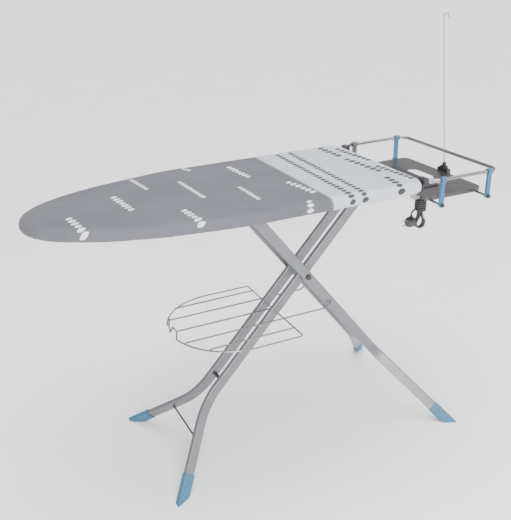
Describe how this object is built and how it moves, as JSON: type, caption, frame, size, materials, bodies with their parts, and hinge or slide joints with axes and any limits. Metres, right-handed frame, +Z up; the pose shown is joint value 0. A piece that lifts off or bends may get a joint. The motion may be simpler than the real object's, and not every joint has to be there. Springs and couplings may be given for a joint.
{
  "type": "ironing board",
  "caption": "Folding ironing board with crossed tube legs, padded cloth cover, railed iron rest, wire shelf and flex holder.",
  "frame": {"origin": "on the floor under the middle of the footprint", "axes": "+X from the nose towards the iron rest, +Y across the board, +Z up"},
  "size_m": [1.4524, 0.6176, 1.3511],
  "materials": {
    "grey_cloth": "woven cotton, grey, with light printed marks",
    "reflective_cloth": "metallised woven cloth, silver white, with dark printed marks",
    "draw_tape": "elastic tape in the hem",
    "felt": "felt underlay",
    "leg_paint": "silver-grey powder coat",
    "frame_paint": "light grey paint",
    "tray_enamel": "hammered grey enamel",
    "chrome_wire": "bright plated steel",
    "zinc": "zinc plated",
    "foot_plastic": "blue moulded plastic",
    "black_plastic": "black moulded plastic",
    "socket_plastic": "light grey moulded plastic",
    "cord_sheath": "black flexible sheath"
  },
  "bodies": {
    "board": {"cover_front": "grey_cloth", "cover_rear": "reflective_cloth", "draw_cord": "draw_tape", "underpad": "felt", "top_plate": "frame_paint", "rim_frame": "frame_paint", "nose_cross_rail": "frame_paint", "mid_cross_rail": "frame_paint", "hinge_cross_rail": "frame_paint", "rack_front": "frame_paint", "rack_back": "frame_paint", "hinge_bracket_front": "frame_paint", "hinge_bracket_back": "frame_paint", "hinge_rod": "zinc", "lever_pin": "zinc", "lever_spring": "zinc", "rest_arm_front": "frame_paint", "rest_arm_back": "frame_paint", "iron_tray": "tray_enamel", "tip_guard": "black_plastic", "cross_rod_near": "chrome_wire", "cross_rod_far": "chrome_wire", "rod_end_caps": "foot_plastic", "post_near_front": "foot_plastic", "post_near_back": "foot_plastic", "post_far_front": "foot_plastic", "post_far_back": "foot_plastic", "guard_rail": "chrome_wire", "rail_bracket_front": "black_plastic", "rail_bracket_back": "black_plastic", "flex_holder": "black_plastic", "socket_box": "socket_plastic", "cord_gland": "black_plastic", "cord_lead": "cord_sheath", "cord_hank": "cord_sheath", "cord_tail": "cord_sheath", "mains_plug": "black_plastic", "plug_pins": "zinc"},
    "lever": {"height_lever": "frame_paint", "lever_grip": "black_plastic"},
    "inner_legs": {"leg_inner_front": "leg_paint", "leg_inner_back": "leg_paint", "pivot_bolt": "zinc", "pivot_spacers": "zinc", "pivot_caps": "black_plastic", "leg_spacer_pin": "black_plastic", "leg_brace": "black_plastic", "foot_inner_front": "foot_plastic", "foot_inner_back": "foot_plastic"},
    "outer_legs": {"leg_outer_front": "leg_paint", "leg_outer_back": "leg_paint", "latch_rod": "zinc", "foot_outer_front": "foot_plastic", "foot_outer_back": "foot_plastic"},
    "shelf": {"shelf_rim": "chrome_wire", "shelf_bars": "chrome_wire", "shelf_arms": "chrome_wire", "shelf_catch": "chrome_wire"},
    "flex_arm": {"flex_rod": "chrome_wire"}
  },
  "joints": [
    {"name": "leg_fold", "type": "hinge", "parent": "board", "child": "inner_legs", "pos_m": [0.38444, 0, 0.845], "axis": [0, 1, 0], "range_deg": [0, 42.4]},
    {"name": "cross_pivot", "type": "hinge", "parent": "inner_legs", "child": "outer_legs", "pos_m": [0.13075, 0, 0.572], "axis": [0, 1, 0], "range_deg": [-89.75, 0.5]},
    {"name": "shelf_hinge", "type": "hinge", "parent": "outer_legs", "child": "shelf", "pos_m": [0.21386, 0, 0.466], "axis": [0, 1, 0], "range_deg": [-0.5, 49.85]},
    {"name": "lever_press", "type": "hinge", "parent": "board", "child": "lever", "pos_m": [-0.03925, 0.091, 0.848], "axis": [0, 1, 0], "range_deg": [-3, 0], "stiffness_Nm_per_rad": 3, "springref_deg": 14.32, "deforming": ["lever_spring"]},
    {"name": "flex_swivel", "type": "hinge", "parent": "board", "child": "flex_arm", "pos_m": [0.71175, 0, 0.853], "axis": [-0.1004, 0, 0.995], "continuous": true}
  ],
  "couplings": [
    {"joint": "cross_pivot", "follows": "leg_fold", "ratio": -2.105},
    {"joint": "shelf_hinge", "follows": "leg_fold", "ratio": 1.1639}
  ]
}
